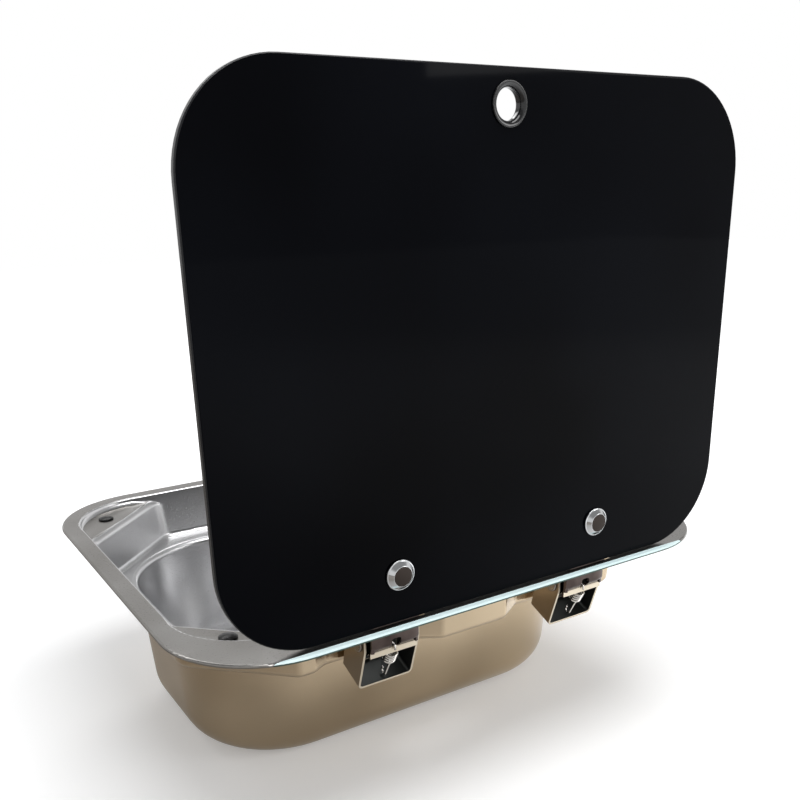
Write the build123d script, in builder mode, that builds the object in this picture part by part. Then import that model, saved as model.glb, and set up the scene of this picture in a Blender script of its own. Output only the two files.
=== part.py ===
"""Built-in kitchen sink for a camper: a pressed steel bowl under a hinged glass lid.

Millimetres.  X runs along the long side, +Y points to the hinges at the back, +Z is up.
The origin is the centre of the worktop cut-out, on the worktop's upper face.
The lid is modelled open, standing upright on its two spring hinges.
"""
import os
from math import cos, hypot, pi, radians, sin, sqrt

from build123d import *

os.makedirs("parts", exist_ok=True)

# ---------------------------------------------------------------- driving dimensions
# the pressing
sheet = 0.8                 # steel of the sink
rim_length = 420.0          # flange, left to right
rim_width = 370.0           # flange, front to back
rim_radius = 69.0
rim_height = 2.0            # flange top above the worktop, with its edge turned down to it
rim_edge_round = 1.4

side_band = 14.0            # flat flange beside and in front of the recess
rear_band = 36.0            # flat flange behind it, over the hinges
recess_radius = 55.0
recess_lip_round = 2.0      # flange into recess
ledge_drop = 5.7            # corner ledges below the flange top
ledge_lip_round = 6.0       # ledge into the upper recess

shelf_drop = 40.0           # shelf around the bowl below the flange top
side_slope = 0.20           # wall lean of the upper recess, run over fall
rear_slope = 0.075
front_corner_share = 0.182  # corner ledge along each wall, as a share of the flange's length
rear_corner_share = 0.1643
corner_bend = 20.0
shelf_round = 5.0

pocket_depth = 13.0         # rear wall set forward in front of each hinge
pocket_inner_reach = 32.0   # its ends, from the middle of the hinge
pocket_outer_reach = 30.0
pocket_slant = 20.0
shoulder_depth = 7.0        # rear wall beside the pockets
shoulder_slant = 11.0
pocket_bend = 7.0

bowl_side_shelf = 26.0      # recess edge to bowl mouth, at each end
bowl_front_shelf = 31.0
bowl_rear_shelf = 66.0
bowl_radius = 82.0
bowl_drop = 145.0           # bowl bottom below the flange top
bowl_lean = 4.0             # degrees
bowl_bottom_round = 27.0
bowl_lip_round = 5.0

drain_diameter = 60.0
tap_diameter = 35.0
tap_from_bowl = 30.0        # tap centre behind the bowl mouth

# the lid
glass_side_gap = 3.0        # closed lid to the recess, at each end
glass_front_gap = 4.4
glass_radius = 56.0
glass_thickness = 5.0
glass_edge_round = 1.2
lid_lift = 0.6              # open lid's lower edge above the flange
finger_drop = 18.8          # finger hole centre from the lid's far edge
finger_opening = 16.6
finger_sleeve_wall = 2.6
finger_flange = 24.0
finger_flange_height = 1.2
glass_hole_clearance = 0.2

# lid screws
hinge_share = 0.376         # between the hinges, as a share of the flange's length
screw_rise = 31.0           # screw above the lid's lower edge
screw_diameter = 5.0
screw_head_diameter = 9.5
screw_head_height = 2.6
screw_hex = 3.0             # across the flats of its socket
socket_sides = 6
screw_hex_depth = 1.6
cap_diameter = 19.4
cap_base_height = 0.8
cap_top_diameter = 13.0
cap_height = 3.4
cap_bore_depth = 2.2
washer_diameter = 17.6
washer_thickness = 0.8
bush_wall = 1.5
screw_fit = 0.1             # radial clearance round the screw
pad_thickness = 0.8         # rubber between lid and arm
pad_height = 24.0

# the hinges
pivot_behind = 10.0         # pivot behind the recess
pivot_drop = 16.5           # pivot below the flange top
pivot_to_glass = 13.3       # pivot to the inner face of the open lid
pin_diameter = 6.0
pin_fit = 0.06              # radial clearance in the cheeks and ears
pin_head_diameter = 10.0
pin_head_height = 1.6

arm_width = 34.4
arm_thickness = 2.0
arm_above_screw = 11.0
arm_corner_radius = 8.0
ear_radius = 8.5
ear_below_pivot = 4.0
knee_below_pivot = 0.0      # strap starts to draw in
tail_inset = 3.4            # tail in front of the strap
tail_top = 3.4              # below the pivot
tail_bottom = 7.8
knee_bend = 3.2
hook_slot_width = 7.0
hook_slot_rise = 3.6        # top of the slot above the pivot
hook_slot_fall = 4.0        # its lower edge below the pivot, where the spring pulls

box_sheet = 1.5
box_fit = 1.6               # arm to cheek, each side
box_bend = 3.6
box_rear = 7.2              # cheek behind the pivot
box_kink = 3.0              # its upper rear corner, below the pivot
box_front = 19.0            # front plate before the pivot
box_front_fall = 12.5       # its knee below the pivot
sole_front_reach = 22.5     # slanting sole plate: ends before and below the pivot
sole_front_fall = 25.5
sole_rear_reach = 3.1
sole_rear_fall = 33.8
box_shoulder_round = 7.0
box_ledge_gap = 1.8         # cheek under the ledge
box_wall_gap = 1.7          # cheek behind the recess wall
weld_tab_length = 8.0
weld_tab_width = 5.0

slot_side_gap = 2.0         # flange slot beside the arm
slot_rear_gap = 4.5         # behind the arm
slot_front_gap = 2.0        # before the pocket wall
slot_depth = 9.2            # below the flange top, through the recess wall

# the springs
wire = 1.4
coil_radius = 3.9           # to the middle of the wire
coil_turns = 4
coil_pitch = 2.1
hook_radius = 2.3
hook_tip = 1.6              # straight end of the upper hook
upper_leg = 2.0             # straight wire under the upper hook
leg_blend = 3.2             # fall over which a leg turns into the coil
lower_hook_turn = 220.0     # degrees
anchor_width = 5.0          # lanced tab that holds the lower hook
anchor_rise = 4.4
anchor_from_rear = 4.0
anchor_hole = 2.8

# the bumpers
bumper_diameter = 12.0
bumper_gap = 0.3            # under the closed lid
bumper_inset_x = 26.0       # from the recess wall
bumper_inset_front = 27.5
bumper_inset_rear = 25.0
bumper_stem = 5.0
bumper_barb = 7.4
bumper_barb_height = 2.4
bumper_fit = 0.1
bumper_wall = 0.9           # upright rim under the dome

finger_flange_round = 0.5
finger_mouth_round = 3.0     # rear mouth of the finger hole
finger_end_round = 2.4       # its front mouth
pad_margin = 1.0            # pad narrower than the arm, each side
pad_corner = 3.0
cap_end_gap = 0.3           # screw end to the bottom of the cap's bore
screw_head_round = 1.0
pin_head_round = 0.9
hook_slot_round = 2.0

# how edges are found and the wire is measured
level_play = 0.01           # edges this close to a height lie on it
field_play = 2.0            # margin of the field that they are looked for in
wire_samples = 400
arcs_per_turn = 4
next_turn = 3 * wire         # wire further on than this is another stretch of it

# ---------------------------------------------------------------- derived places
rim_top = rim_height
recess_front = -rim_width / 2 + side_band
recess_rear = rim_width / 2 - rear_band
recess_half = rim_length / 2 - side_band
ledge_z = rim_top - ledge_drop
shelf_z = rim_top - shelf_drop
bowl_z = rim_top - bowl_drop
front_corner_leg = front_corner_share * rim_length
rear_corner_leg = rear_corner_share * rim_length
bowl_front = recess_front + bowl_front_shelf
bowl_rear = recess_rear - bowl_rear_shelf
bowl_width = bowl_rear - bowl_front
bowl_length = 2 * (recess_half - bowl_side_shelf)
bowl_middle = (bowl_front + bowl_rear) / 2
tap_y = bowl_rear + tap_from_bowl

hinge_spacing = hinge_share * rim_length
pocket_inner = hinge_spacing / 2 - pocket_inner_reach
pocket_outer = hinge_spacing / 2 + pocket_outer_reach
pivot_y = recess_rear + pivot_behind
pivot_z = rim_top - pivot_drop
glass_inner = pivot_y + pivot_to_glass
glass_outer = glass_inner + glass_thickness
glass_bottom = rim_top + lid_lift
closed_rear = pivot_y - (glass_bottom - pivot_z)
glass_width = closed_rear - recess_front - glass_front_gap
glass_length = 2 * (recess_half - glass_side_gap)
glass_middle = glass_bottom + glass_width / 2
screw_z = glass_bottom + screw_rise
finger_z = glass_bottom + glass_width - finger_drop
closed_underside = pivot_z + pivot_to_glass

strap_outer = glass_inner - pad_thickness
strap_middle = strap_outer - arm_thickness / 2
strap_inner = strap_outer - arm_thickness
arm_top = screw_z + arm_above_screw
box_width = arm_width + 2 * (box_fit + box_sheet)
hinge_sides = {"left": -hinge_spacing / 2, "right": hinge_spacing / 2}


def dish_outline(depth, grow):
    """Corner points and bends of the upper recess at a depth, moved outwards by `grow`."""
    side = recess_half - side_slope * depth + grow
    front = recess_front + side_slope * depth - grow
    rear = recess_rear - rear_slope * depth + grow
    ease = grow * (2 - sqrt(2))
    front_leg = front_corner_leg - side_slope * depth * (2 - sqrt(2)) + ease
    rear_leg = rear_corner_leg - side_slope * depth * (2 - sqrt(2)) + ease
    pocket = rear - pocket_depth
    shoulder = rear - shoulder_depth
    half = [
        (pocket_inner - pocket_slant, rear),
        (pocket_inner, pocket),
        (pocket_outer, pocket),
        (pocket_outer + shoulder_slant, shoulder),
        (side - rear_leg + shoulder_depth, shoulder),
        (side, rear - rear_leg),
        (side, front + front_leg),
        (side - front_leg, front),
    ]
    bends = [corner_bend if x == side or y == front else pocket_bend for x, y in half]
    return half + [(-x, y) for x, y in reversed(half)], bends + bends[::-1]


def recess_outline(depth, grow):
    """Half length, front edge and rear edge of the lid recess at a depth."""
    half = recess_half - side_slope * depth + grow
    front = recess_front + side_slope * depth - grow
    rear = recess_rear - rear_slope * depth + grow
    return half, front, rear


def level_edges(part, height, half, front, rear):
    """Level edges of a part at a height, in a field around the middle of the sink."""
    flat = part.edges().filter_by_position(Axis.Z, height - level_play, height + level_play)
    near = flat.filter_by(lambda edge: abs(edge.center().X) < half + field_play)
    return near.filter_by_position(Axis.Y, front - field_play, rear + field_play)


def dished_form(grow):
    """Solid that fills recess and bowl: the water side at 0, the underside at `sheet`."""
    full_depth = shelf_drop + grow
    with BuildPart() as limit:
        for depth in (0, full_depth):
            half, front, rear = recess_outline(depth, grow)
            with BuildSketch(Plane.XY.offset(rim_top - depth)):
                with Locations((0, (front + rear) / 2)):
                    RectangleRounded(2 * half, rear - front, recess_radius + grow)
        loft(ruled=True)
    with BuildPart() as dish:
        for depth in (0, full_depth):
            points, bends = dish_outline(depth, grow)
            with BuildSketch(Plane.XY.offset(rim_top - depth)):
                with BuildLine():
                    FilletPolyline(*points, radius=bends, close=True)
                make_face()
        loft(ruled=True)
        fillet(dish.faces().sort_by(Axis.Z)[0].edges(), shelf_round + grow)
        with BuildSketch(Plane.XY.offset(ledge_z - grow)):
            Rectangle(2 * rim_length, 2 * rim_length)
        extrude(amount=ledge_drop + grow)
        ledge_lips = level_edges(dish, ledge_z - grow, recess_half, recess_front, recess_rear)
        fillet(ledge_lips, ledge_lip_round - grow)
        add(limit.part, mode=Mode.INTERSECT)
        with BuildSketch(Plane.XY.offset(shelf_z + shelf_round)):
            with Locations((0, bowl_middle)):
                RectangleRounded(bowl_length + 2 * grow, bowl_width + 2 * grow, bowl_radius + grow)
        extrude(amount=-(bowl_drop - shelf_drop + shelf_round + grow), taper=bowl_lean)
        fillet(dish.faces().sort_by(Axis.Z)[0].edges(), bowl_bottom_round + grow)
        bowl_lips = level_edges(dish, shelf_z - grow, bowl_length / 2, bowl_front, bowl_rear)
        fillet(bowl_lips, bowl_lip_round - grow)
    return dish.part


def facing_back(x, y, z):
    """Upright plane that looks towards the hinges: its own y is up."""
    return Plane(origin=(x, y, z), x_dir=(-1, 0, 0), z_dir=(0, 1, 0))


def finish(builder, name):
    """Label a piece and write it."""
    builder.part.label = name
    export_step(builder.part, f"parts/{name}.step")


# ---------------------------------------------------------------- where the bumpers sit
bumper_top = closed_underside - bumper_gap
bumper_x = recess_half - bumper_inset_x
bumper_spots = {
    "front_left": (-bumper_x, recess_front + bumper_inset_front),
    "front_right": (bumper_x, recess_front + bumper_inset_front),
    "rear_left": (-bumper_x, recess_rear - bumper_inset_rear),
    "rear_right": (bumper_x, recess_rear - bumper_inset_rear),
}

# ---------------------------------------------------------------- the pressed sink
underside = dished_form(sheet)
water_side = dished_form(0)

with BuildPart() as sink_bowl:
    with BuildSketch():
        RectangleRounded(rim_length, rim_width, rim_radius)
    extrude(amount=rim_top)
    fillet(sink_bowl.edges().group_by(Axis.Z)[-1], rim_edge_round)
    with BuildSketch():
        RectangleRounded(rim_length - 2 * sheet, rim_width - 2 * sheet, rim_radius - sheet)
    extrude(amount=rim_top - sheet, mode=Mode.SUBTRACT)
    add(underside)
    add(water_side, mode=Mode.SUBTRACT)
    lip = level_edges(sink_bowl, rim_top, recess_half, recess_front, recess_rear)
    fillet(lip, recess_lip_round)
    with Locations((0, tap_y, shelf_z)):
        Hole(tap_diameter / 2, depth=2 * sheet)
    with Locations((0, bowl_middle, bowl_z)):
        Hole(drain_diameter / 2, depth=2 * sheet)
    with Locations(*[(x, y, ledge_z) for x, y in bumper_spots.values()]):
        Hole(bumper_stem / 2 + bumper_fit, depth=2 * sheet)
    slot_front = recess_rear - pocket_depth - slot_front_gap
    slot_rear = strap_outer + slot_rear_gap
    with BuildSketch(Plane.XY.offset(rim_top - slot_depth)):
        with Locations(*[(x, (slot_front + slot_rear) / 2) for x in hinge_sides.values()]):
            Rectangle(arm_width + 2 * slot_side_gap, slot_rear - slot_front)
    extrude(amount=slot_depth, mode=Mode.SUBTRACT)
finish(sink_bowl, "sink_bowl")

for spot, (x, y) in bumper_spots.items():
    bumper_edge = bumper_diameter / 2
    stem_edge = bumper_stem / 2
    barb_edge = bumper_barb / 2
    rise = bumper_top - ledge_z
    with BuildPart() as bumper:
        with BuildSketch(Plane(origin=(x, y, ledge_z), x_dir=(1, 0, 0), z_dir=(0, -1, 0))):
            with BuildLine():
                TangentArc((0, rise), (bumper_edge, bumper_wall), tangent=(1, 0))
                Polyline(
                    (bumper_edge, bumper_wall),
                    (bumper_edge, 0),
                    (stem_edge, 0),
                    (stem_edge, -sheet),
                    (barb_edge, -sheet),
                    (stem_edge, -sheet - bumper_barb_height),
                    (0, -sheet - bumper_barb_height),
                    (0, rise),
                )
            make_face()
        revolve(axis=Axis((x, y, ledge_z), (0, 0, 1)))
    finish(bumper, f"bumper_{spot}")

# ---------------------------------------------------------------- the glass lid
bush_diameter = screw_diameter + 2 * (screw_fit + bush_wall)
sleeve_diameter = finger_opening + 2 * finger_sleeve_wall
screw_holes = [(x, screw_z) for x in hinge_sides.values()]

with BuildPart() as glass_lid:
    with BuildSketch(facing_back(0, glass_inner, 0)):
        with Locations((0, glass_middle)):
            RectangleRounded(glass_length, glass_width, glass_radius)
    extrude(amount=glass_thickness)
    rims = glass_lid.edges().group_by(Axis.Y)
    fillet(rims[0] + rims[-1], glass_edge_round)
    with BuildSketch(facing_back(0, glass_inner, 0)):
        with Locations(*screw_holes):
            Circle(bush_diameter / 2 + glass_hole_clearance)
        with Locations((0, finger_z)):
            Circle(sleeve_diameter / 2 + glass_hole_clearance)
    extrude(amount=glass_thickness, mode=Mode.SUBTRACT)
finish(glass_lid, "glass_lid")

with BuildPart() as finger_ring_outer:
    with BuildSketch(facing_back(0, glass_outer, finger_z)):
        Circle(finger_flange / 2)
    extrude(amount=finger_flange_height)
    fillet(finger_ring_outer.edges().group_by(Axis.Y)[-1], finger_flange_round)
    with BuildSketch(facing_back(0, glass_inner - finger_flange_height, finger_z)):
        Circle(sleeve_diameter / 2)
    extrude(amount=glass_thickness + finger_flange_height)
    with BuildSketch(facing_back(0, glass_inner - finger_flange_height, finger_z)):
        Circle(finger_opening / 2)
    extrude(amount=glass_thickness + 2 * finger_flange_height, mode=Mode.SUBTRACT)
    rear_mouth = finger_ring_outer.edges().group_by(Axis.Y)[-1].sort_by(SortBy.RADIUS)[0]
    fillet(rear_mouth, finger_mouth_round)
    front_mouth = finger_ring_outer.edges().group_by(Axis.Y)[0].sort_by(SortBy.RADIUS)[0]
    fillet(front_mouth, finger_end_round)
finish(finger_ring_outer, "finger_ring_outer")

with BuildPart() as finger_ring_inner:
    with BuildSketch(facing_back(0, glass_inner, finger_z)):
        Circle(finger_flange / 2)
    extrude(amount=-finger_flange_height)
    fillet(finger_ring_inner.edges().group_by(Axis.Y)[0], finger_flange_round)
    with BuildSketch(facing_back(0, glass_inner, finger_z)):
        Circle(sleeve_diameter / 2 + glass_hole_clearance / 2)
    extrude(amount=-finger_flange_height, mode=Mode.SUBTRACT)
finish(finger_ring_inner, "finger_ring_inner")

# ---------------------------------------------------------------- lid screws, one at each hinge
cap_seat = glass_outer + washer_thickness
shank_end = cap_seat + cap_bore_depth - cap_end_gap

for side, x in hinge_sides.items():
    with BuildPart() as cap_washer:
        with BuildSketch(facing_back(x, glass_outer, screw_z)):
            Circle(washer_diameter / 2)
            Circle(screw_diameter / 2 + screw_fit, mode=Mode.SUBTRACT)
        extrude(amount=washer_thickness)
    finish(cap_washer, f"cap_washer_{side}")

    with BuildPart() as glass_bush:
        with BuildSketch(facing_back(x, glass_inner, screw_z)):
            Circle(bush_diameter / 2)
            Circle(screw_diameter / 2 + screw_fit, mode=Mode.SUBTRACT)
        extrude(amount=glass_thickness)
    finish(glass_bush, f"glass_bush_{side}")

    with BuildPart() as arm_pad:
        with BuildSketch(facing_back(x, strap_outer, screw_z)):
            RectangleRounded(arm_width - 2 * pad_margin, pad_height, pad_corner)
            Circle(screw_diameter / 2 + screw_fit, mode=Mode.SUBTRACT)
        extrude(amount=pad_thickness)
    finish(arm_pad, f"arm_pad_{side}")

    with BuildPart() as lid_cap:
        with BuildSketch(facing_back(x, cap_seat, screw_z)):
            Circle(cap_diameter / 2)
        extrude(amount=cap_base_height)
        fillet(lid_cap.edges().group_by(Axis.Y)[-1], cap_base_height / 2)
        with BuildSketch(facing_back(x, cap_seat + cap_base_height, screw_z)):
            Circle(cap_diameter / 2 - cap_base_height)
        with BuildSketch(facing_back(x, cap_seat + cap_height, screw_z)):
            Circle(cap_top_diameter / 2)
        loft()
        with BuildSketch(facing_back(x, cap_seat, screw_z)):
            Circle(screw_diameter / 2 + screw_fit)
        extrude(amount=cap_bore_depth, mode=Mode.SUBTRACT)
    finish(lid_cap, f"lid_cap_{side}")

    with BuildPart() as lid_screw:
        with BuildSketch(facing_back(x, strap_inner, screw_z)):
            Circle(screw_head_diameter / 2)
        extrude(amount=-screw_head_height)
        fillet(lid_screw.edges().group_by(Axis.Y)[0], screw_head_round)
        with BuildSketch(facing_back(x, strap_inner - screw_head_height, screw_z)):
            RegularPolygon(screw_hex / 2, socket_sides, major_radius=False)
        extrude(amount=screw_hex_depth, mode=Mode.SUBTRACT)
        with BuildSketch(facing_back(x, strap_inner, screw_z)):
            Circle(screw_diameter / 2)
        extrude(amount=shank_end - strap_inner)
    finish(lid_screw, f"lid_screw_{side}")

# ---------------------------------------------------------------- hinge arms
for side, x in hinge_sides.items():
    tail_middle = strap_middle - tail_inset
    with BuildPart() as hinge_arm:
        with BuildLine(Plane.YZ.offset(x)):
            FilletPolyline(
                (strap_middle, arm_top),
                (strap_middle, pivot_z - knee_below_pivot),
                (tail_middle, pivot_z - tail_top),
                (tail_middle, pivot_z - tail_bottom),
                radius=knee_bend,
            )
        with BuildSketch(Plane(origin=(x, strap_middle, arm_top), x_dir=(1, 0, 0), z_dir=(0, 0, -1))):
            Rectangle(arm_width, arm_thickness)
        sweep()
        upper_corners = hinge_arm.edges().filter_by(Axis.Y).group_by(Axis.Z)[-1]
        fillet(upper_corners, arm_corner_radius)
        ear_length = strap_middle - pivot_y
        for ear_start in (-arm_width / 2, arm_width / 2 - arm_thickness):
            with BuildSketch(Plane.YZ.offset(x + ear_start)):
                with Locations((pivot_y, pivot_z)):
                    Circle(ear_radius)
                with Locations((pivot_y + ear_length / 2, pivot_z)):
                    with Locations((0, (ear_radius - ear_below_pivot) / 2)):
                        Rectangle(ear_length, ear_radius + ear_below_pivot)
            extrude(amount=arm_thickness)
        with BuildSketch(Plane.YZ.offset(x - arm_width / 2)):
            with Locations((pivot_y, pivot_z)):
                Circle(pin_diameter / 2 + pin_fit)
        extrude(amount=arm_width, mode=Mode.SUBTRACT)
        slot_height = hook_slot_rise + hook_slot_fall
        with BuildSketch(facing_back(x, tail_middle - arm_thickness, pivot_z)):
            with Locations((0, (hook_slot_rise - hook_slot_fall) / 2)):
                RectangleRounded(hook_slot_width, slot_height, hook_slot_round)
        extrude(amount=tail_inset + 2 * arm_thickness, mode=Mode.SUBTRACT)
        with BuildSketch(facing_back(x, strap_inner, screw_z)):
            Circle(screw_diameter / 2 + screw_fit)
        extrude(amount=arm_thickness, mode=Mode.SUBTRACT)
    finish(hinge_arm, f"hinge_arm_{side}")


# ---------------------------------------------------------------- hinge boxes under the flange
def inset_line(points, distance):
    """Line parallel to a bent line of points, to the left of it."""
    legs = []
    for (ay, az), (by, bz) in zip(points, points[1:]):
        length = hypot(by - ay, bz - az)
        legs.append(((by - ay) / length, (bz - az) / length))
    inset = []
    for count, (y, z) in enumerate(points):
        before = legs[max(count - 1, 0)]
        after = legs[min(count, len(legs) - 1)]
        normal = (-(before[1] + after[1]) / 2, (before[0] + after[0]) / 2)
        scale = distance / (normal[0] ** 2 + normal[1] ** 2)
        inset.append((y + normal[0] * scale, z + normal[1] * scale))
    return inset


flange_under = rim_top - sheet
front_plate_y = pivot_y - box_front
cheek_step_z = ledge_z - sheet - box_ledge_gap
cheek_step_y = recess_rear + sheet + box_wall_gap
cheek_rear_y = pivot_y + box_rear
sole_front = (pivot_y - sole_front_reach, pivot_z - sole_front_fall)
sole_rear = (pivot_y - sole_rear_reach, pivot_z - sole_rear_fall)
sole_run = (sole_front[0] - sole_rear[0], sole_front[1] - sole_rear[1])
sole_length = hypot(*sole_run)
sole_along = (sole_run[0] / sole_length, sole_run[1] / sole_length)
sole_up = (sole_along[1], -sole_along[0])
plate_line = [
    (front_plate_y, cheek_step_z),
    (front_plate_y, pivot_z - box_front_fall),
    sole_front,
    sole_rear,
]
cheek_line = plate_line + [
    (cheek_rear_y, pivot_z - box_kink),
    (cheek_rear_y, flange_under),
    (cheek_step_y, flange_under),
    (cheek_step_y, cheek_step_z),
]
inner_line = inset_line(plate_line, box_sheet)
past_mouth = 2 * box_rear
cavity_rear = (
    inner_line[-1][0] - sole_along[0] * past_mouth,
    inner_line[-1][1] - sole_along[1] * past_mouth,
)
cavity_line = inner_line + [
    cavity_rear,
    (cavity_rear[0], flange_under + box_sheet),
    (inner_line[0][0], flange_under + box_sheet),
]
anchor_foot = (
    sole_rear[0] + sole_along[0] * anchor_from_rear + sole_up[0] * box_sheet,
    sole_rear[1] + sole_along[1] * anchor_from_rear + sole_up[1] * box_sheet,
)

for side, x in hinge_sides.items():
    with BuildPart() as hinge_box:
        with BuildSketch(Plane.YZ.offset(x - box_width / 2)) as cheek:
            with BuildLine():
                Polyline(*cheek_line, close=True)
            make_face()
            fillet(cheek.vertices().group_by(Axis.Z)[-1].sort_by(Axis.Y)[-1], box_shoulder_round)
        extrude(amount=box_width)
        with BuildSketch(Plane.YZ.offset(x - box_width / 2 + box_sheet)):
            with BuildLine():
                Polyline(*cavity_line, close=True)
            make_face()
        extrude(amount=box_width - 2 * box_sheet, mode=Mode.SUBTRACT)
        sole_edges = hinge_box.edges().filter_by(Axis((0, 0, 0), (0, *sole_along)))
        bends = sole_edges.sort_by(lambda edge: abs(edge.center().X - x))
        fillet(bends[:2], box_bend - box_sheet)
        fillet(bends[2:], box_bend)
        tab_x = box_width / 2 + weld_tab_length / 2
        tab_y = cheek_step_y + weld_tab_width / 2
        for sign in (-1, 1):
            with BuildSketch(Plane.XY.offset(flange_under)):
                with Locations((x + sign * tab_x, tab_y)):
                    Rectangle(weld_tab_length, weld_tab_width)
            extrude(amount=-box_sheet)
        with BuildSketch(Plane.YZ.offset(x - box_width / 2)):
            with Locations((pivot_y, pivot_z)):
                Circle(pin_diameter / 2 + pin_fit)
        extrude(amount=box_width, mode=Mode.SUBTRACT)
        anchor = Plane(
            origin=(x, anchor_foot[0], anchor_foot[1]),
            x_dir=(1, 0, 0),
            z_dir=(0, -sole_along[0], -sole_along[1]),
        )
        with BuildSketch(anchor.offset(-box_sheet / 2)):
            with Locations((0, anchor_rise / 2)):
                Rectangle(anchor_width, anchor_rise)
            with Locations((0, anchor_rise - hook_radius)):
                Circle(anchor_hole / 2, mode=Mode.SUBTRACT)
        extrude(amount=box_sheet)
    finish(hinge_box, f"hinge_box_{side}")

    with BuildPart() as pivot_pin:
        with BuildSketch(Plane.YZ.offset(x - box_width / 2)):
            with Locations((pivot_y, pivot_z)):
                Circle(pin_diameter / 2)
        extrude(amount=box_width)
        for head_start, growth in ((-box_width / 2, -1), (box_width / 2, 1)):
            with BuildSketch(Plane.YZ.offset(x + head_start)):
                with Locations((pivot_y, pivot_z)):
                    Circle(pin_head_diameter / 2)
            extrude(amount=growth * pin_head_height)
        fillet(pivot_pin.edges().group_by(Axis.X)[0], pin_head_round)
        fillet(pivot_pin.edges().group_by(Axis.X)[-1], pin_head_round)
    finish(pivot_pin, f"pivot_pin_{side}")


# ---------------------------------------------------------------- tension springs
def biarc(start, leaving, end, arriving):
    """Where two arcs meet that leave `start` and reach `end` in the given directions."""
    chord = end - start
    both = leaving + arriving
    spread = 2 * (1 - leaving.dot(arriving))
    across = chord.dot(both)
    reach = (sqrt(across ** 2 + spread * chord.dot(chord)) - across) / spread
    first = start + leaving * reach
    second = end - arriving * reach
    return (first + second) / 2, (second - first).normalized()


def join(start, leaving, end, arriving):
    """Draw the two arcs of a biarc."""
    middle, heading = biarc(start, leaving, end, arriving)
    TangentArc(start, middle, tangent=leaving)
    TangentArc(middle, end, tangent=heading)


def least_gap(points, reach):
    """Least clear distance between stretches of wire further apart than `reach` along it."""
    travelled = [0.0]
    for before, after in zip(points, points[1:]):
        travelled.append(travelled[-1] + (after - before).length)
    least = reach
    for count, point in enumerate(points):
        for other in range(count + 1, len(points)):
            if travelled[other] - travelled[count] > reach:
                least = min(least, (points[other] - point).length - wire)
    return least


anchor_pull = (
    anchor_foot[0] + sole_up[0] * anchor_rise,
    anchor_foot[1] + sole_up[1] * anchor_rise,
)
tail_pull = (strap_middle - tail_inset, pivot_z - hook_slot_fall)

for side, x in hinge_sides.items():
    top = Vector(x, *tail_pull)
    bottom = Vector(x, *anchor_pull)
    span = (bottom - top).length
    down = (bottom - top).normalized()
    sideways = Vector(1, 0, 0)
    forward = down.cross(sideways)
    coil_start = upper_leg + leg_blend
    coil_end = coil_start + coil_turns * coil_pitch
    lean = coil_pitch / (2 * pi * coil_radius)

    def on_coil(turn):
        """Point of the coil and direction of its wire after a number of turns."""
        angle = pi + 2 * pi * turn
        level = top + down * (coil_start + coil_pitch * turn)
        point = level + (sideways * cos(angle) + forward * sin(angle)) * coil_radius
        heading = sideways * -sin(angle) + forward * cos(angle) + down * lean
        return point, heading.normalized()

    with BuildPart() as tension_spring:
        with BuildLine() as wire_path:
            crown = top + forward * hook_radius
            leg_end = crown + down * upper_leg
            over = Vector(0, 0, 1)
            tip_start = top + Vector(0, hook_radius, 0)
            Line(tip_start - over * hook_tip, tip_start)
            join(tip_start, over, crown, down)
            Line(crown, leg_end)
            join(leg_end, down, *on_coil(0))
            for step in range(arcs_per_turn * coil_turns):
                join(*on_coil(step / arcs_per_turn), *on_coil((step + 1) / arcs_per_turn))
            lower_leg = bottom - forward * hook_radius
            leg_start = lower_leg - down * (span - coil_end - leg_blend)
            join(*on_coil(coil_turns), leg_start, down)
            Line(leg_start, lower_leg)
            turn = radians(lower_hook_turn)
            hook_end = bottom - forward * (hook_radius * cos(turn)) + down * (hook_radius * sin(turn))
            half = turn / 2
            hook_low = bottom - forward * (hook_radius * cos(half)) + down * (hook_radius * sin(half))
            ThreePointArc(lower_leg, hook_low, hook_end)
        with BuildSketch(Plane(origin=tip_start - over * hook_tip, z_dir=over)):
            Circle(wire / 2)
        sweep(path=wire_path.wires()[0])
    along = [wire_path.wires()[0] @ (count / wire_samples) for count in range(wire_samples + 1)]
    clear = least_gap(along, next_turn)
    print(f"tension_spring_{side}: least gap of the wire to itself {clear:.2f} mm")
    finish(tension_spring, f"tension_spring_{side}")
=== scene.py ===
# %% [markdown]
# # A camper sink under a glass lid
#
# The sink is one steel pressing that hangs in a worktop by its flange. A black glass lid stands
# open on two sprung hinges at the back. The measured model gives every shape its place, so this
# script dresses it: it adds soft edges, finer metalwork and finishes, and then lights the result.

from math import pi, radians

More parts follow.
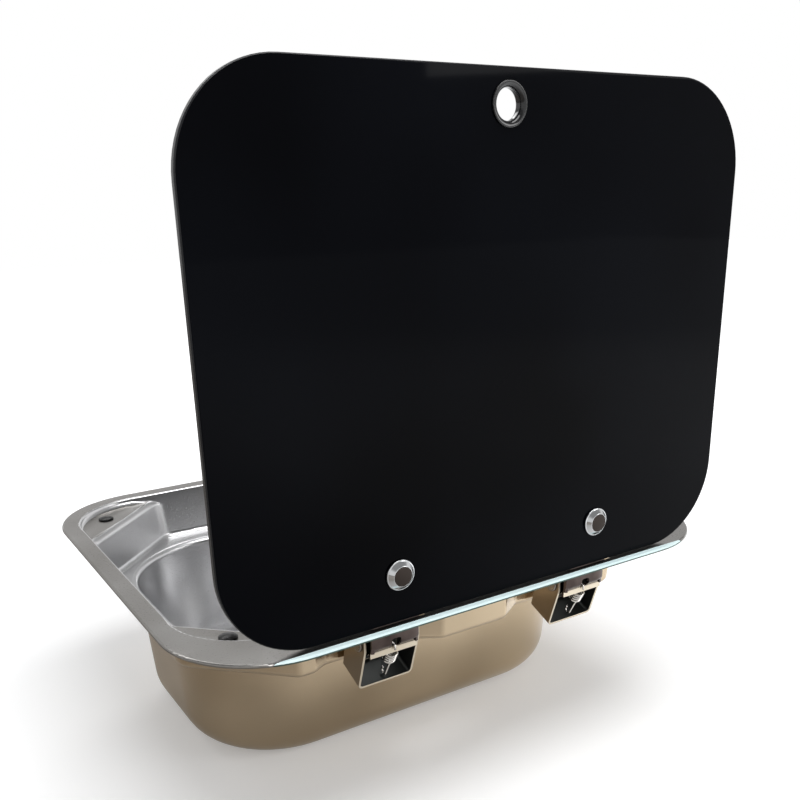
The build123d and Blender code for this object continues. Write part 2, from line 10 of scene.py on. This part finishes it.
import bmesh
import bpy
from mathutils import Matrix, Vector


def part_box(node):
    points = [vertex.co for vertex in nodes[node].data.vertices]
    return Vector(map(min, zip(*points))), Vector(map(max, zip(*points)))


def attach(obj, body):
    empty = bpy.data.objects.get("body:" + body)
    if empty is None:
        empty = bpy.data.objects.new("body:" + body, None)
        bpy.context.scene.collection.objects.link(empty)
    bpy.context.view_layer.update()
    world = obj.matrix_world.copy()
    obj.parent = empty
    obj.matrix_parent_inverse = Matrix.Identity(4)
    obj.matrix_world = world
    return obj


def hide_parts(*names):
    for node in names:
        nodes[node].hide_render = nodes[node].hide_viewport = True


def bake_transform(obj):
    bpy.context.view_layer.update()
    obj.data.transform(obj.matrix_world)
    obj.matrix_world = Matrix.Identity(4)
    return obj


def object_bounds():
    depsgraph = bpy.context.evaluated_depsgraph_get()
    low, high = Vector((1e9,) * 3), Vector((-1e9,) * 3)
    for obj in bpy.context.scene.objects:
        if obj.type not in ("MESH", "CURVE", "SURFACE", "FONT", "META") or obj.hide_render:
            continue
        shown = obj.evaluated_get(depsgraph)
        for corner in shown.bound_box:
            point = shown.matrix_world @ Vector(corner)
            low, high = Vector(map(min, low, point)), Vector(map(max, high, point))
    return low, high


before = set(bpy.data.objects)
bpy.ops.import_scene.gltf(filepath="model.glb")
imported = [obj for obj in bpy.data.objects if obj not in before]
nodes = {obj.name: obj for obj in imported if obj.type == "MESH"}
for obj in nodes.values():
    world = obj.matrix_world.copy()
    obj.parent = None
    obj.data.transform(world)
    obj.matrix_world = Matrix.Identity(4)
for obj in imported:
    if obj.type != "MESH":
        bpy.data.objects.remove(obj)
measured_box = [list(corner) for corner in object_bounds()]
sides = ("left", "right")
mm = 0.001
print("pieces:", len(nodes), "box:", [[round(v, 4) for v in corner] for corner in measured_box])

# %% [markdown]
# ## Camera
#
# The picture is taken from behind the right-hand hinge, a little above the lid's middle. A camera
# could be aimed with a constraint, but the angles are written out here, so that nothing depends
# on another object. A small vertical shift keeps the sides of the lid nearly parallel.

# %% Place the camera
camera_data = bpy.data.cameras.new("camera")
camera_data.lens = 40.83
camera_data.shift_y = 0.15
camera_data.clip_start = 0.01
camera = bpy.data.objects.new("camera", camera_data)
bpy.context.scene.collection.objects.link(camera)
camera.location = (0.3423, 0.6023, 0.2459)
camera.rotation_euler = [radians(angle) for angle in (70.42, 1.5, 147.558)]
bpy.context.scene.camera = camera
bpy.context.scene.view_settings.view_transform = "Standard"
print("camera at", tuple(round(v, 3) for v in camera.location))

# %% [markdown]
# ## Light and floor
#
# Polished steel shows mostly what is around it. The world is plain white to the camera. In the
# metal it is bright near the horizon and greyer above, as in a light tent with a dim roof, and it
# is softer again where it only lights. A wide lamp overhead gives the bright lines that run along
# pressed edges, and a small lamp at the side fills the ends. The floor is pale and keeps the shadow
# of the sink. A floor darkens towards the horizon, so it is lifted to white there, but only for
# rays that see it. Mirrored in the metal, its right-hand side is darker, which gives the steel a
# slow change of tone.

# %% A helper that adds nodes
mix_colours = (6, 7)  # the two colour inputs of a Mix node; its factor input is number 0
mix_result = 2  # its colour output


def add_node(tree, kind, **settings):
    """Add a node to a tree; a setting is an attribute, or the value of an input."""
    node = tree.nodes.new(kind)
    for name, value in settings.items():
        if hasattr(node, name):
            setattr(node, name, value)
        else:
            node.inputs[name.replace("_", " ")].default_value = value
    return node


def seen_rays(tree):
    """A value that is 1 for rays that see a surface, and 0 for rays that only light it."""
    rays = add_node(tree, "ShaderNodeLightPath")
    first = add_node(tree, "ShaderNodeMath", operation="MAXIMUM")
    second = add_node(tree, "ShaderNodeMath", operation="MAXIMUM")
    tree.links.new(rays.outputs["Is Camera Ray"], first.inputs[0])
    tree.links.new(rays.outputs["Is Glossy Ray"], first.inputs[1])
    tree.links.new(rays.outputs["Is Transmission Ray"], second.inputs[1])
    tree.links.new(first.outputs[0], second.inputs[0])
    return second.outputs[0]


# %% Bright surroundings
world = bpy.data.worlds.new("studio")
bpy.context.scene.world = world
world.use_nodes = True
sky = world.node_tree
sky.nodes.clear()
soft = add_node(sky, "ShaderNodeBackground", Color=(0.95, 0.97, 1.0, 1), Strength=0.4)
white = add_node(sky, "ShaderNodeBackground", Color=(1, 1, 1, 1), Strength=1.0)
mirrored = add_node(sky, "ShaderNodeLightPath")
heading = add_node(sky, "ShaderNodeTexCoord")
rise = add_node(sky, "ShaderNodeSeparateXYZ")
roof = add_node(
    sky, "ShaderNodeMapRange", interpolation_type="SMOOTHSTEP",
    From_Min=0.30, From_Max=0.58, To_Min=0.0, To_Max=0.64,
)
dim_share = add_node(sky, "ShaderNodeMath", operation="MULTIPLY")
level = add_node(sky, "ShaderNodeMath", operation="SUBTRACT")
level.inputs[0].default_value = 1.0
sky.links.new(heading.outputs["Generated"], rise.inputs[0])
sky.links.new(rise.outputs["Z"], roof.inputs["Value"])
sky.links.new(roof.outputs[0], dim_share.inputs[0])
sky.links.new(mirrored.outputs["Is Glossy Ray"], dim_share.inputs[1])
sky.links.new(dim_share.outputs[0], level.inputs[1])
sky.links.new(level.outputs[0], white.inputs["Strength"])
choice = add_node(sky, "ShaderNodeMixShader")
output = add_node(sky, "ShaderNodeOutputWorld")
sky.links.new(seen_rays(sky), choice.inputs[0])
sky.links.new(soft.outputs[0], choice.inputs[1])
sky.links.new(white.outputs[0], choice.inputs[2])
sky.links.new(choice.outputs[0], output.inputs["Surface"])
print("world nodes:", len(sky.nodes))

# %% Floor
floor_z = measured_box[0][2]
floor_mesh = bpy.data.meshes.new("floor")
sketch = bmesh.new()
bmesh.ops.create_grid(sketch, x_segments=1, y_segments=1, size=6)
bmesh.ops.translate(sketch, verts=sketch.verts, vec=(0, 0, floor_z))
sketch.to_mesh(floor_mesh)
sketch.free()
floor = bpy.data.objects.new("floor", floor_mesh)
bpy.context.scene.collection.objects.link(floor)

floor_paint = bpy.data.materials.new("floor_paint")
floor_paint.use_nodes = True
paint = floor_paint.node_tree
paint.nodes.clear()
matt = add_node(paint, "ShaderNodeBsdfDiffuse")
tone = add_node(paint, "ShaderNodeMix", data_type="RGBA", clamp_factor=False)
for number, value in zip(mix_colours, ((0.82, 0.82, 0.82, 1), (0.24, 0.22, 0.20, 1))):
    tone.inputs[number].default_value = value
dim_side = add_node(
    paint, "ShaderNodeMapRange", From_Min=-0.25, From_Max=0.32, To_Min=-0.25, To_Max=1.0
)
mirror_only = add_node(paint, "ShaderNodeMath", operation="MULTIPLY")
mirror_rays = add_node(paint, "ShaderNodeLightPath")
lift = add_node(paint, "ShaderNodeEmission")
lift_level = add_node(paint, "ShaderNodeMath", operation="MULTIPLY")
floor_spot = add_node(paint, "ShaderNodeTexCoord")
distance = add_node(paint, "ShaderNodeVectorMath", operation="LENGTH")
fade = add_node(paint, "ShaderNodeMapRange", From_Min=0.35, From_Max=1.1, To_Min=0.3, To_Max=1.0)
across = add_node(paint, "ShaderNodeSeparateXYZ")
paint.links.new(floor_spot.outputs["Object"], across.inputs[0])
paint.links.new(across.outputs["X"], dim_side.inputs["Value"])
paint.links.new(dim_side.outputs[0], mirror_only.inputs[0])
paint.links.new(mirror_rays.outputs["Is Glossy Ray"], mirror_only.inputs[1])
paint.links.new(mirror_only.outputs[0], tone.inputs[0])
paint.links.new(tone.outputs[mix_result], matt.inputs["Color"])
paint.links.new(tone.outputs[mix_result], lift.inputs["Color"])
paint.links.new(floor_spot.outputs["Object"], distance.inputs[0])
paint.links.new(distance.outputs["Value"], fade.inputs["Value"])
paint.links.new(fade.outputs[0], lift_level.inputs[1])
both = add_node(paint, "ShaderNodeAddShader")
output = add_node(paint, "ShaderNodeOutputMaterial")
paint.links.new(seen_rays(paint), lift_level.inputs[0])
paint.links.new(lift_level.outputs[0], lift.inputs["Strength"])
paint.links.new(matt.outputs[0], both.inputs[0])
paint.links.new(lift.outputs[0], both.inputs[1])
paint.links.new(both.outputs[0], output.inputs["Surface"])
floor_mesh.materials.append(floor_paint)
print("floor at", round(floor_z, 4))

# %% Lamps
lamps = {
    "overhead": ((-0.1, 0.55, 1.9), (1.6, 0.9), 26),
    "long_front": ((0.2, -1.5, 1.7), (2.0, 0.35), 14),
    "side_fill": ((-1.3, 1.5, 0.9), (0.8, 0.8), 9),
}
for name, (place, (width, height), power) in lamps.items():
    lamp = bpy.data.lights.new(name, "AREA")
    lamp.shape = "RECTANGLE"
    lamp.size = width
    lamp.size_y = height
    lamp.energy = power
    holder = bpy.data.objects.new(name, lamp)
    bpy.context.scene.collection.objects.link(holder)
    holder.location = place
    holder.rotation_euler = Vector(place).to_track_quat("Z", "Y").to_euler()
print("lamps:", len(lamps))

# %% [markdown]
# ## Surface detail shared by the finishes
#
# Rolled sheet has a fine grain and slow, cloudy changes of gloss. Two noise textures give both.
# They sit in a node group, because every finish here needs them at its own scale, and the group
# puts out only plain values, so each finish keeps its own shader.

# %% Grain group
grain_group = bpy.data.node_groups.new("sheet_grain", "ShaderNodeTree")
for label, start in (("Grain scale", 2400.0), ("Stretch", 5.0), ("Cloud scale", 14.0)):
    socket = grain_group.interface.new_socket(
        name=label, in_out="INPUT", socket_type="NodeSocketFloat"
    )
    socket.default_value = start
for label in ("Grain", "Cloud"):
    grain_group.interface.new_socket(name=label, in_out="OUTPUT", socket_type="NodeSocketFloat")
group_in = add_node(grain_group, "NodeGroupInput")
group_out = add_node(grain_group, "NodeGroupOutput")
place_on = add_node(grain_group, "ShaderNodeTexCoord")
stretch = add_node(grain_group, "ShaderNodeCombineXYZ", Y=1.0, Z=1.0)
stretched = add_node(grain_group, "ShaderNodeVectorMath", operation="MULTIPLY")
fine = add_node(grain_group, "ShaderNodeTexNoise", Detail=3.0)
slow = add_node(grain_group, "ShaderNodeTexNoise", Detail=2.0)
share = add_node(grain_group, "ShaderNodeMath", operation="DIVIDE")
share.inputs[0].default_value = 1.0
wire_up = grain_group.links.new
wire_up(group_in.outputs["Stretch"], share.inputs[1])
wire_up(share.outputs[0], stretch.inputs["X"])
wire_up(place_on.outputs["Object"], stretched.inputs[0])
wire_up(stretch.outputs[0], stretched.inputs[1])
wire_up(stretched.outputs[0], fine.inputs["Vector"])
wire_up(group_in.outputs["Grain scale"], fine.inputs["Scale"])
wire_up(place_on.outputs["Object"], slow.inputs["Vector"])
wire_up(group_in.outputs["Cloud scale"], slow.inputs["Scale"])
wire_up(fine.outputs["Fac"], group_out.inputs["Grain"])
wire_up(slow.outputs["Fac"], group_out.inputs["Cloud"])
print("grain group nodes:", len(grain_group.nodes))

# %% A finish from the grain group
def make_finish(
    name, light, dark, gloss, metal=1.0, grain=(2400.0, 5.0, 14.0), bump=0.01, **extra
):
    """A finish between two colours; gloss gives the lowest and highest roughness."""
    finish = bpy.data.materials.new(name)
    finish.use_nodes = True
    tree = finish.node_tree
    shader = tree.nodes["Principled BSDF"]
    shader.inputs["Metallic"].default_value = metal
    for socket, value in extra.items():
        shader.inputs[socket.replace("_", " ")].default_value = value
    texture = add_node(tree, "ShaderNodeGroup", node_tree=grain_group)
    for socket, value in zip(texture.inputs, grain):
        socket.default_value = value
    colour = add_node(tree, "ShaderNodeMix", data_type="RGBA")
    for number, value in zip(mix_colours, (light, dark)):
        colour.inputs[number].default_value = (*value, 1)
    spread = add_node(tree, "ShaderNodeMapRange", From_Min=0.3, From_Max=0.7)
    rough = add_node(tree, "ShaderNodeMapRange", To_Min=gloss[0], To_Max=gloss[1])
    relief = add_node(tree, "ShaderNodeBump", Strength=bump, Distance=0.0002)
    tree.links.new(texture.outputs["Cloud"], spread.inputs["Value"])
    tree.links.new(spread.outputs[0], colour.inputs[0])
    tree.links.new(colour.outputs[mix_result], shader.inputs["Base Color"])
    tree.links.new(texture.outputs["Grain"], rough.inputs["Value"])
    tree.links.new(rough.outputs[0], shader.inputs["Roughness"])
    tree.links.new(texture.outputs["Grain"], relief.inputs["Height"])
    tree.links.new(relief.outputs[0], shader.inputs["Normal"])
    return finish


# %% [markdown]
# ## Finishes
#
# The walls and the bowl are bright satin. The level faces and the flange's outer edge are a darker
# copy of the same steel, which is painted shade. Underneath, the steel is smooth, and its warm tone
# and slow light and dark cloud are a painted reflection of a warm floor. The flange's back edge has
# a painted highlight on its top over a painted shade on its turned-down edge. The hinge sheet is
# warm too, with bare cut edges.

# %% Metal finishes
steel_inside = make_finish(
    "steel_inside", (0.70, 0.70, 0.71), (0.60, 0.60, 0.605), (0.26, 0.30), bump=0.0015
)
# Painted shade: a darker copy of the wall steel for the level faces and the flange's outer edge.
steel_painted_shade = make_finish(
    "steel_painted_shade", (0.28, 0.272, 0.262), (0.19, 0.18, 0.168), (0.26, 0.30), bump=0.001
)
# Painted reflection: the warm tone and its slow light and dark cloud stand for a warm floor
# mirrored.
underside_painted_reflection = make_finish(
    "underside_painted_reflection", (0.66, 0.535, 0.375), (0.40, 0.315, 0.212), (0.20, 0.25),
    grain=(2400.0, 3.0, 7.0), bump=0.002,
)
# Painted highlight: a pale bright strip along the top of the flange's back edge.
rim_painted_highlight = make_finish(
    "rim_painted_highlight", (0.82, 0.98, 0.98), (0.76, 0.95, 0.96), (0.3, 0.4), metal=0.0, bump=0.005
)
# Painted shade: a dark strip on the turned-down back edge of the flange.
rim_painted_shade = make_finish("rim_painted_shade", (0.085, 0.12, 0.105), (0.06, 0.09, 0.08), (0.25, 0.35))
hinge_outside = make_finish(
    "hinge_outside", (0.36, 0.285, 0.20), (0.25, 0.20, 0.14), (0.30, 0.42)
)
# Painted shade: the faces inside the hinge box are darker than its outside.
hinge_painted_shade = make_finish("hinge_painted_shade", (0.13, 0.135, 0.13), (0.07, 0.073, 0.072), (0.34, 0.46))
cut_edge = make_finish(
    "cut_edge", (0.70, 0.63, 0.51), (0.58, 0.51, 0.40), (0.30, 0.42), bump=0.04
)
arm_polish = make_finish(
    "arm_polish", (0.11, 0.086, 0.078), (0.04, 0.030, 0.027), (0.12, 0.18),
    grain=(2400.0, 5.0, 60.0), bump=0.004,
)
pin_polish = make_finish("pin_polish", (0.30, 0.27, 0.24), (0.18, 0.16, 0.14), (0.15, 0.3))
spring_polish = make_finish("spring_polish", (0.78, 0.76, 0.72), (0.55, 0.53, 0.50), (0.10, 0.2))
cap_polish = make_finish("cap_polish", (0.70, 0.71, 0.72), (0.52, 0.53, 0.54), (0.05, 0.12))
cap_inlay = make_finish(
    "cap_inlay", (0.048, 0.038, 0.033), (0.032, 0.026, 0.023), (0.25, 0.35), bump=0.004
)
screw_plate = make_finish("screw_plate", (0.50, 0.50, 0.50), (0.40, 0.40, 0.40), (0.2, 0.35))
print("metal finishes:", len([m for m in bpy.data.materials if m.node_tree]))

# %% Glass, plastic and rubber finishes
# The glass is black; the slow, bluer-where-lighter cloud between its two blacks is a painted
# reflection.
lid_black_and_painted_reflection = make_finish(
    "lid_black_and_painted_reflection", (0.0030, 0.0036, 0.0056), (0.0002, 0.0002, 0.0008), (0.03, 0.06), metal=0.0,
    grain=(40.0, 1.0, 5.0), bump=0.0, Specular_IOR_Level=0.03,
)
lid_edge = make_finish(
    "lid_edge", (0.020, 0.021, 0.023), (0.012, 0.012, 0.014), (0.22, 0.35), metal=0.0,
    grain=(1500.0, 1.0, 60.0), bump=0.02, Specular_IOR_Level=0.25,
)
gloss_plastic = make_finish(
    "gloss_plastic", (0.008, 0.008, 0.009), (0.004, 0.004, 0.005), (0.10, 0.18), metal=0.0,
    grain=(400.0, 1.0, 60.0), bump=0.01,
)
rubber = make_finish(
    "rubber", (0.006, 0.006, 0.006), (0.003, 0.003, 0.003), (0.14, 0.34), metal=0.0,
    grain=(700.0, 1.0, 250.0), bump=0.9, Specular_IOR_Level=0.2,
)
nylon = make_finish(
    "nylon", (0.72, 0.71, 0.67), (0.62, 0.61, 0.57), (0.3, 0.4), metal=0.0,
    grain=(600.0, 1.0, 80.0), bump=0.02,
)
print("all finishes:", len(bpy.data.materials))

# %% [markdown]
# ## From measured piece to dressed piece
#
# The measured meshes are loose triangles with knife-sharp edges. A copy is merged, its flat
# triangles are joined, and a bevel breaks the edges, because a real edge always catches a line of
# light. The copy then stands for the measured piece and rides on the same body.

# %% Merge, finish and place a copy
merge_distance = 0.002 * mm
cut_distance = 0.001 * mm
flat_angle = radians(0.3)
bevel_angle = radians(35)


def link_piece(name, mesh, body, replaced):
    """Put a mesh in the scene as a piece of the object."""
    piece = bpy.data.objects.new(name, mesh)
    bpy.context.scene.collection.objects.link(piece)
    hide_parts(*replaced)
    if body:
        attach(piece, body)
    return piece


def merged_copy(node, join_flat=True):
    """Copy of a measured mesh with its corners merged."""
    mesh = nodes[node].data.copy()
    mesh.name = f"{node}_mesh"
    mesh.materials.clear()
    copy = bmesh.new()
    copy.from_mesh(mesh)
    bmesh.ops.remove_doubles(copy, verts=copy.verts, dist=merge_distance)
    if join_flat:
        bmesh.ops.dissolve_limit(
            copy, angle_limit=flat_angle, verts=copy.verts, edges=copy.edges, delimit={"NORMAL"}
        )
    copy.to_mesh(mesh)
    copy.free()
    return mesh


def cut_across(shape, spot, facing):
    """Cut every face that a plane crosses, and keep both parts."""
    bmesh.ops.bisect_plane(
        shape, geom=shape.verts[:] + shape.edges[:] + shape.faces[:],
        plane_co=spot, plane_no=facing, dist=cut_distance,
    )


def soften(piece, width, edge_slot=-1):
    """Break the sharp edges and shade the rest smooth."""
    piece.data.shade_smooth()
    if width:
        bevel = piece.modifiers.new("broken_edges", "BEVEL")
        bevel.width = width
        bevel.segments = 2
        bevel.limit_method = "ANGLE"
        bevel.angle_limit = bevel_angle
        bevel.material = edge_slot
        bevel.use_clamp_overlap = True
    weighted = piece.modifiers.new("even_shading", "WEIGHTED_NORMAL")
    weighted.keep_sharp = True
    return piece


def dress(node, body, finishes, width=0.15 * mm, pick=None, edge_slot=-1):
    """Dressed copy of a measured piece; pick chooses a finish for each face."""
    mesh = merged_copy(node)
    for finish in finishes:
        mesh.materials.append(finish)
    for face in mesh.polygons:
        face.material_index = pick(face) if pick else 0
    piece = link_piece(f"{node}_dressed", mesh, body, [node])
    return soften(piece, width, edge_slot)


# %% [markdown]
# ## The pressing
#
# Seen from a point in the bowl, every wet face looks towards you and every dry face looks away.
# That gives the finish of each face with one dot product, without any painting by hand. Two flat
# cuts through the rim give the painted highlight and the painted shade at the back of the flange a
# clean border.

# %% Pressing with a wet and a dry side
bowl_view = Vector((0, -0.028, 0.10))
flange_foot = -0.5 * mm
ledge_level = -4.0 * mm
painted_strip_start = 180.4 * mm
highlight_shade_split = 0.9 * mm
level_facing = 0.985
pressing_sharp = radians(32)


def pressing_finish(face):
    """Number of the finish of a face, in the order of the list below."""
    looks_up = face.normal.dot(bowl_view - face.center) > 0
    at_rim = face.center.z > flange_foot
    # The back strip of the rim: painted highlight on top, painted shade on the turned-down edge.
    if at_rim and face.center.y > painted_strip_start:
        return 3 if face.center.z > highlight_shade_split else 4
    # Dry faces underneath get the painted reflection of a warm floor.
    if not looks_up and not at_rim:
        return 1
    outward = face.normal.x * face.center.x + face.normal.y * face.center.y > 0
    # Painted shade on the flange's outer edge and on the level faces above the ledge.
    if at_rim and outward:
        return 2
    return 2 if face.normal.z > level_facing and face.center.z > ledge_level else 0


pressing_mesh = merged_copy("sink_bowl", join_flat=False)
cut = bmesh.new()
cut.from_mesh(pressing_mesh)
cut_across(cut, (0, painted_strip_start, 0), (0, 1, 0))
cut_across(cut, (0, 0, highlight_shade_split), (0, 0, 1))
cut.to_mesh(pressing_mesh)
cut.free()
for finish in (steel_inside, underside_painted_reflection, steel_painted_shade, rim_painted_highlight, rim_painted_shade):
    pressing_mesh.materials.append(finish)
for face in pressing_mesh.polygons:
    face.material_index = pressing_finish(face)
pressing_mesh.shade_smooth()
pressing_mesh.set_sharp_from_angle(angle=pressing_sharp)
pressing = link_piece("sink_pressing", pressing_mesh, "sink", ["sink_bowl"])
soften(pressing, 0)
print("pressing faces:", len(pressing_mesh.polygons))

# %% [markdown]
# ## Lid glass and finger ring
#
# Tempered glass has a polished face and a ground edge, which looks grey against the black face. The
# faces that don't look forwards or backwards are the edge.

# %% Lid glass
broad_facing = 0.9


def face_or_edge(face):
    """0 for the two broad faces, and 1 for the ground edge."""
    return 0 if abs(face.normal.y) > broad_facing else 1


lid = dress("glass_lid", "lid", [lid_black_and_painted_reflection, lid_edge], 0, face_or_edge)
for half in ("outer", "inner"):
    dress(f"finger_ring_{half}", "lid", [gloss_plastic], 0.35 * mm)
print("lid faces:", len(lid.data.polygons))

# %% [markdown]
# ## Lid screw caps
#
# Each cap is a low chromed disc with a wide chamfer and a dark flat face. A profile is spun into
# the disc, because a profile can carry the small rounds that catch the light.

# %% Turned caps
cap_profile = [  # radius and height above the seat, in mm
    (0.0, 3.4), (6.25, 3.4), (6.45, 3.36), (6.6, 3.25), (8.85, 0.98), (9.0, 0.86), (9.2, 0.8),
    (9.5, 0.76), (9.65, 0.64), (9.7, 0.45), (9.7, 0.15), (9.6, 0.0), (0.0, 0.0),
]
cap_turns = 96
face_radius = 6.3 * mm
face_level = 3 * mm
cap_sharp = radians(40)


def turned_cap(seat):
    """Spin the profile round the cap's axis, which points along +Y from its seat."""
    shape = bmesh.new()
    points = [shape.verts.new((radius * mm, height * mm, 0)) for radius, height in cap_profile]
    for first, second in zip(points, points[1:]):
        shape.edges.new((first, second))
    bmesh.ops.spin(
        shape, geom=shape.verts[:] + shape.edges[:], cent=(0, 0, 0), axis=(0, 1, 0),
        angle=2 * pi, steps=cap_turns, use_merge=True,
    )
    bmesh.ops.remove_doubles(shape, verts=shape.verts, dist=cut_distance)
    bmesh.ops.recalc_face_normals(shape, faces=shape.faces)
    bmesh.ops.translate(shape, verts=shape.verts, vec=seat)
    mesh = bpy.data.meshes.new("cap")
    shape.to_mesh(mesh)
    shape.free()
    return mesh


for side in sides:
    low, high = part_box(f"lid_cap_{side}")
    seat = Vector(((low.x + high.x) / 2, low.y, (low.z + high.z) / 2))
    mesh = turned_cap(seat)
    mesh.materials.append(cap_polish)
    mesh.materials.append(cap_inlay)
    for face in mesh.polygons:
        reach = Vector((face.center.x - seat.x, face.center.z - seat.z)).length
        on_top = face.center.y > low.y + face_level
        face.material_index = 1 if on_top and reach < face_radius else 0
    mesh.shade_smooth()
    mesh.set_sharp_from_angle(angle=cap_sharp)
    link_piece(f"lid_cap_{side}_turned", mesh, "lid", [f"lid_cap_{side}"])
    print("cap", side, "faces:", len(mesh.polygons))

# %% [markdown]
# ## Hinges
#
# The box under the flange is bent from sheet. Its outside is warm and satin, the inside is painted
# dark as shade, and the sheared edges are bright, so the bevel that breaks an edge also gets the
# bright finish.
# The arm is polished dark steel, and its drawn-in tail shows the sheet's own colour. The arm's web
# is pressed a little round at its sides, so thin slices are cut there and then eased inwards.

# %% Rounded web of an arm
web_top = -4.0 * mm
web_face = 170.0 * mm
web_half = 17.2 * mm
flat_half = 11.0 * mm
side_roll = 1.2 * mm
ease_height = 4 * mm
slices = 6


def round_web(mesh, middle):
    """Ease the web's flat rear face inwards towards its two sides."""
    shape = bmesh.new()
    shape.from_mesh(mesh)
    cuts = []
    for step in range(slices):
        reach = flat_half + (web_half - flat_half) * step / slices
        cuts.append(((0, 0, web_top - ease_height * step / slices), (0, 0, 1)))
        cuts.append(((middle - reach, 0, 0), (1, 0, 0)))
        cuts.append(((middle + reach, 0, 0), (1, 0, 0)))
    for spot, facing in cuts:
        cut_across(shape, spot, facing)
    for corner in shape.verts:
        if corner.co.y > web_face and corner.co.z < web_top:
            down = min(1, (web_top - corner.co.z) / ease_height)
            aside = max(0, (abs(corner.co.x - middle) - flat_half) / (web_half - flat_half))
            corner.co.y -= side_roll * down * aside ** 2
    shape.to_mesh(mesh)
    shape.free()


# %% Hinge boxes and arms
tail_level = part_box("hinge_arm_left")[0].z + 4.6 * mm
tail_start = 0.164
mouth_start = 0.150
mouth_facing = 0.8
heart_y, heart_z = 0.155, -0.019

for side in sides:
    low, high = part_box(f"hinge_box_{side}")
    box_heart = Vector(((low.x + high.x) / 2, heart_y, heart_z))

    def inside_or_out(face):
        """1 for the faces inside the box, with painted shade, and 2 for the cut edges round its
        mouth.
        """
        if face.normal.y > mouth_facing and face.center.y > mouth_start:
            return 2
        return 1 if face.normal.dot(box_heart - face.center) > 0 else 0

    dress(
        f"hinge_box_{side}", "sink", [hinge_outside, hinge_painted_shade, cut_edge],
        0.25 * mm, inside_or_out, edge_slot=2,
    )

    def web_or_tail(face):
        """1 for the tail of the arm, which the spring hooks into."""
        return 1 if face.center.z < tail_level and face.center.y > tail_start else 0

    arm = dress(
        f"hinge_arm_{side}", "lid", [arm_polish, cut_edge], 0.3 * mm, web_or_tail
    )
    round_web(arm.data, (low.x + high.x) / 2)
    dress(f"pivot_pin_{side}", "sink", [pin_polish], 0)
    dress(f"lid_screw_{side}", "lid", [screw_plate], 0.15 * mm)
    dress(f"arm_pad_{side}", "lid", [rubber], 0.1 * mm)
    dress(f"glass_bush_{side}", "lid", [nylon], 0.1 * mm)
    dress(f"cap_washer_{side}", "lid", [rubber], 0.1 * mm)
print("hinges dressed:", len(sides))

# %% [markdown]
# ## Springs
#
# A spring hooks into the box at its foot and into the arm at its head. It is steel wire, and it
# stretches as the lid turns. Here the copy is shaded smooth and fixed in place, and it follows
# neither the sink nor the lid.

for side in sides:
    low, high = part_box(f"tension_spring_{side}")
    mesh = merged_copy(f"tension_spring_{side}", join_flat=False)
    mesh.materials.append(spring_polish)
    mesh.shade_smooth()
    spring = link_piece(
        f"tension_spring_{side}_wound", mesh, None, [f"tension_spring_{side}"]
    )
    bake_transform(spring)
    print("spring", side, "faces:", len(mesh.polygons))

# %% [markdown]
# ## Bumpers
#
# Four rubber stops keep the closed lid off the steel. They are small, so a rough, grainy rubber
# is enough.

# %% Bumpers
bumper_spots = ("front_left", "front_right", "rear_left", "rear_right")
for spot in bumper_spots:
    dress(f"bumper_{spot}", "sink", [rubber], 0)
print("bumpers dressed:", len(bumper_spots))
